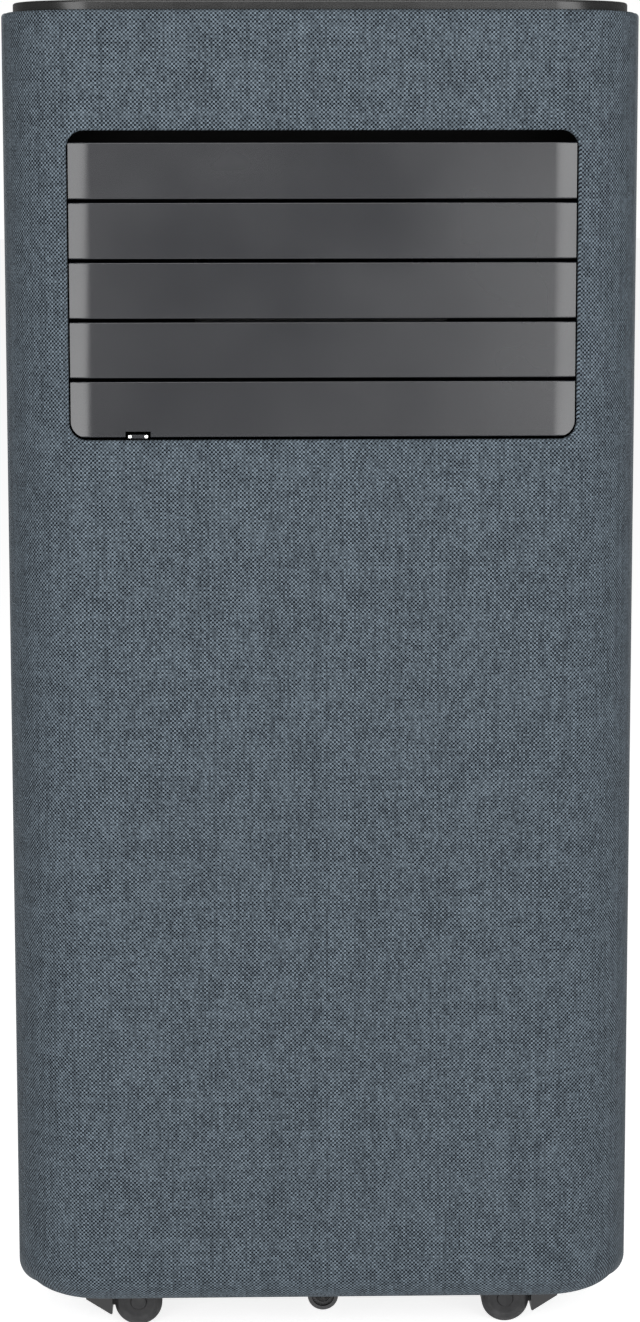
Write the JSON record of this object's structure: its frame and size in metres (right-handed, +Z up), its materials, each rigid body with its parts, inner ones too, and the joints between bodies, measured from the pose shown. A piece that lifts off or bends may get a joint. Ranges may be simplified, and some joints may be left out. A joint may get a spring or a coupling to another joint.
{
  "type": "portable air conditioner",
  "caption": "Upright portable air conditioner with a fabric-wrapped rounded front, linked outlet louvers, top control keys, rear intake grilles, exhaust collar and swivel casters.",
  "frame": {"origin": "on the floor at the middle of the overall box, under the casters", "axes": "+Z up along the longest extent; the louvered front faces -Y; X runs across the width"},
  "size_m": [0.33, 0.34, 0.712],
  "materials": {
    "woven_fabric": "woven, matte",
    "carrier_plastic": "matte moulding behind the fabric",
    "housing_plastic": "fine matte texture, colour matched to the fabric",
    "rim_plastic": "gloss black",
    "panel_gloss": "gloss black",
    "smoked_glass": "smoked window",
    "grip_plastic": "matte",
    "base_plastic": "matte black",
    "black_rubber": "soft matte",
    "duct_plastic": "matte black",
    "motor_steel": "drawn steel can",
    "white_nylon": "moulded",
    "louver_plastic": "satin",
    "board_laminate": "solder mask",
    "button_plastic": "satin key caps",
    "grille_plastic": "matte",
    "filter_mesh": "fine mesh in a ribbed frame",
    "collar_plastic": "matte",
    "coil_fins": "thin fins",
    "blower_plastic": "moulded",
    "compressor_paint": "black paint",
    "copper_pipe": "drawn copper",
    "screw_steel": "zinc plated",
    "caster_plastic": "moulded, with a steel stem and axle",
    "wheel_rubber": "hard tread"
  },
  "bodies": {
    "cabinet": {"front_cover": "carrier_plastic", "front_fabric": "woven_fabric", "rear_housing": "housing_plastic", "top_trim": "rim_plastic", "side_handles": "grip_plastic", "base_pan": "base_plastic", "outlet_frame": "duct_plastic", "louver_motor": "motor_steel", "louver_catch": "louver_plastic", "control_panel": "panel_gloss", "display_window": "smoked_glass", "control_board": "board_laminate", "exhaust_collar": "collar_plastic", "cord_gland": "black_rubber", "deck": "duct_plastic", "evaporator_coil": "coil_fins", "condenser_coil": "coil_fins", "upper_blower_housing": "duct_plastic", "upper_blower_motor": "motor_steel", "lower_blower_housing": "duct_plastic", "lower_blower_motor": "motor_steel", "compressor": "compressor_paint", "compressor_feet": "black_rubber", "refrigerant_pipes": "copper_pipe", "control_box": "duct_plastic", "housing_screws": "screw_steel"},
    "louver_1": {"louver_1": "louver_plastic", "louver_crank_1": "white_nylon"},
    "louver_2": {"louver_2": "louver_plastic", "louver_crank_2": "white_nylon"},
    "louver_3": {"louver_3": "louver_plastic", "louver_crank_3": "white_nylon"},
    "louver_4": {"louver_4": "louver_plastic", "louver_crank_4": "white_nylon"},
    "louver_5": {"louver_5": "louver_plastic", "louver_crank_5": "white_nylon"},
    "louver_link": {"louver_link": "duct_plastic"},
    "drive_crank": {"drive_crank": "white_nylon"},
    "upper_blower_wheel": {"upper_blower_wheel": "blower_plastic"},
    "lower_blower_wheel": {"lower_blower_wheel": "blower_plastic"},
    "button_power": {"button_power": "button_plastic"},
    "button_mode": {"button_mode": "button_plastic"},
    "button_fan": {"button_fan": "button_plastic"},
    "button_down": {"button_down": "button_plastic"},
    "button_up": {"button_up": "button_plastic"},
    "button_timer": {"button_timer": "button_plastic"},
    "upper_intake": {"upper_grille": "grille_plastic", "upper_filter": "filter_mesh"},
    "lower_intake": {"lower_grille": "grille_plastic", "lower_filter": "filter_mesh"},
    "front_plug": {"front_drain_plug": "black_rubber"},
    "rear_plug": {"rear_drain_plug": "black_rubber"},
    "front_left_yoke": {"caster_yoke_front_left": "caster_plastic"},
    "front_left_wheels": {"caster_wheels_front_left": "wheel_rubber"},
    "front_right_yoke": {"caster_yoke_front_right": "caster_plastic"},
    "front_right_wheels": {"caster_wheels_front_right": "wheel_rubber"},
    "rear_left_yoke": {"caster_yoke_rear_left": "caster_plastic"},
    "rear_left_wheels": {"caster_wheels_rear_left": "wheel_rubber"},
    "rear_right_yoke": {"caster_yoke_rear_right": "caster_plastic"},
    "rear_right_wheels": {"caster_wheels_rear_right": "wheel_rubber"}
  },
  "joints": [
    {"name": "louver_1_tilt", "type": "hinge", "parent": "cabinet", "child": "louver_1", "pos_m": [0, -0.15602, 0.62645], "axis": [-1, 0, 0], "range_deg": [0, 65]},
    {"name": "louver_2_tilt", "type": "hinge", "parent": "cabinet", "child": "louver_2", "pos_m": [0, -0.15602, 0.5962], "axis": [-1, 0, 0], "range_deg": [0, 65]},
    {"name": "louver_3_tilt", "type": "hinge", "parent": "cabinet", "child": "louver_3", "pos_m": [0, -0.15602, 0.56595], "axis": [-1, 0, 0], "range_deg": [0, 65]},
    {"name": "louver_4_tilt", "type": "hinge", "parent": "cabinet", "child": "louver_4", "pos_m": [0, -0.15602, 0.5357], "axis": [-1, 0, 0], "range_deg": [0, 65]},
    {"name": "louver_5_tilt", "type": "hinge", "parent": "cabinet", "child": "louver_5", "pos_m": [0, -0.15602, 0.50545], "axis": [-1, 0, 0], "range_deg": [0, 65]},
    {"name": "link_swing", "type": "hinge", "parent": "louver_1", "child": "louver_link", "pos_m": [0.1346, -0.14352, 0.62645], "axis": [-1, 0, 0], "range_deg": [-65, 0]},
    {"name": "drive_crank_turn", "type": "hinge", "parent": "cabinet", "child": "drive_crank", "pos_m": [0.1376, -0.12352, 0.56595], "axis": [-1, 0, 0], "range_deg": [0, 65]},
    {"name": "upper_blower_spin", "type": "hinge", "parent": "cabinet", "child": "upper_blower_wheel", "pos_m": [0, 0.02, 0.5338], "axis": [1, 0, 0], "continuous": true},
    {"name": "lower_blower_spin", "type": "hinge", "parent": "cabinet", "child": "lower_blower_wheel", "pos_m": [0, 0.034, 0.302], "axis": [1, 0, 0], "continuous": true},
    {"name": "power_press", "type": "slide", "parent": "cabinet", "child": "button_power", "axis": [0, 0, -1], "range_m": [0, 0.001], "stiffness_N_per_m": 1500},
    {"name": "mode_press", "type": "slide", "parent": "cabinet", "child": "button_mode", "axis": [0, 0, -1], "range_m": [0, 0.001], "stiffness_N_per_m": 1500},
    {"name": "fan_press", "type": "slide", "parent": "cabinet", "child": "button_fan", "axis": [0, 0, -1], "range_m": [0, 0.001], "stiffness_N_per_m": 1500},
    {"name": "down_press", "type": "slide", "parent": "cabinet", "child": "button_down", "axis": [0, 0, -1], "range_m": [0, 0.001], "stiffness_N_per_m": 1500},
    {"name": "up_press", "type": "slide", "parent": "cabinet", "child": "button_up", "axis": [0, 0, -1], "range_m": [0, 0.001], "stiffness_N_per_m": 1500},
    {"name": "timer_press", "type": "slide", "parent": "cabinet", "child": "button_timer", "axis": [0, 0, -1], "range_m": [0, 0.001], "stiffness_N_per_m": 1500},
    {"name": "upper_grille_pull", "type": "slide", "parent": "cabinet", "child": "upper_intake", "axis": [0, 1, 0], "range_m": [0, 0.04]},
    {"name": "lower_grille_pull", "type": "slide", "parent": "cabinet", "child": "lower_intake", "axis": [0, 1, 0], "range_m": [0, 0.04]},
    {"name": "front_plug_pull", "type": "slide", "parent": "cabinet", "child": "front_plug", "axis": [0, -1, 0], "range_m": [0, 0.03]},
    {"name": "rear_plug_pull", "type": "slide", "parent": "cabinet", "child": "rear_plug", "axis": [0, 1, 0], "range_m": [0, 0.03]},
    {"name": "front_left_swivel", "type": "hinge", "parent": "cabinet", "child": "front_left_yoke", "pos_m": [-0.1133, -0.11, 0.0303], "axis": [0, 0, 1], "continuous": true},
    {"name": "front_left_roll", "type": "hinge", "parent": "front_left_yoke", "child": "front_left_wheels", "pos_m": [-0.1006, -0.11, 0.013], "axis": [0, 1, 0], "continuous": true},
    {"name": "front_right_swivel", "type": "hinge", "parent": "cabinet", "child": "front_right_yoke", "pos_m": [0.1133, -0.11, 0.0303], "axis": [0, 0, 1], "continuous": true},
    {"name": "front_right_roll", "type": "hinge", "parent": "front_right_yoke", "child": "front_right_wheels", "pos_m": [0.1006, -0.11, 0.013], "axis": [0, -1, 0], "continuous": true},
    {"name": "rear_left_swivel", "type": "hinge", "parent": "cabinet", "child": "rear_left_yoke", "pos_m": [-0.1133, 0.1, 0.0303], "axis": [0, 0, 1], "continuous": true},
    {"name": "rear_left_roll", "type": "hinge", "parent": "rear_left_yoke", "child": "rear_left_wheels", "pos_m": [-0.1133, 0.1127, 0.013], "axis": [-1, 0, 0], "continuous": true},
    {"name": "rear_right_swivel", "type": "hinge", "parent": "cabinet", "child": "rear_right_yoke", "pos_m": [0.1133, 0.1, 0.0303], "axis": [0, 0, 1], "continuous": true},
    {"name": "rear_right_roll", "type": "hinge", "parent": "rear_right_yoke", "child": "rear_right_wheels", "pos_m": [0.1133, 0.1127, 0.013], "axis": [-1, 0, 0], "continuous": true}
  ],
  "couplings": [
    {"joint": "louver_2_tilt", "follows": "louver_1_tilt", "ratio": 1},
    {"joint": "louver_3_tilt", "follows": "louver_1_tilt", "ratio": 1},
    {"joint": "louver_4_tilt", "follows": "louver_1_tilt", "ratio": 1},
    {"joint": "louver_5_tilt", "follows": "louver_1_tilt", "ratio": 1},
    {"joint": "link_swing", "follows": "louver_1_tilt", "ratio": -1},
    {"joint": "drive_crank_turn", "follows": "louver_1_tilt", "ratio": 1}
  ]
}
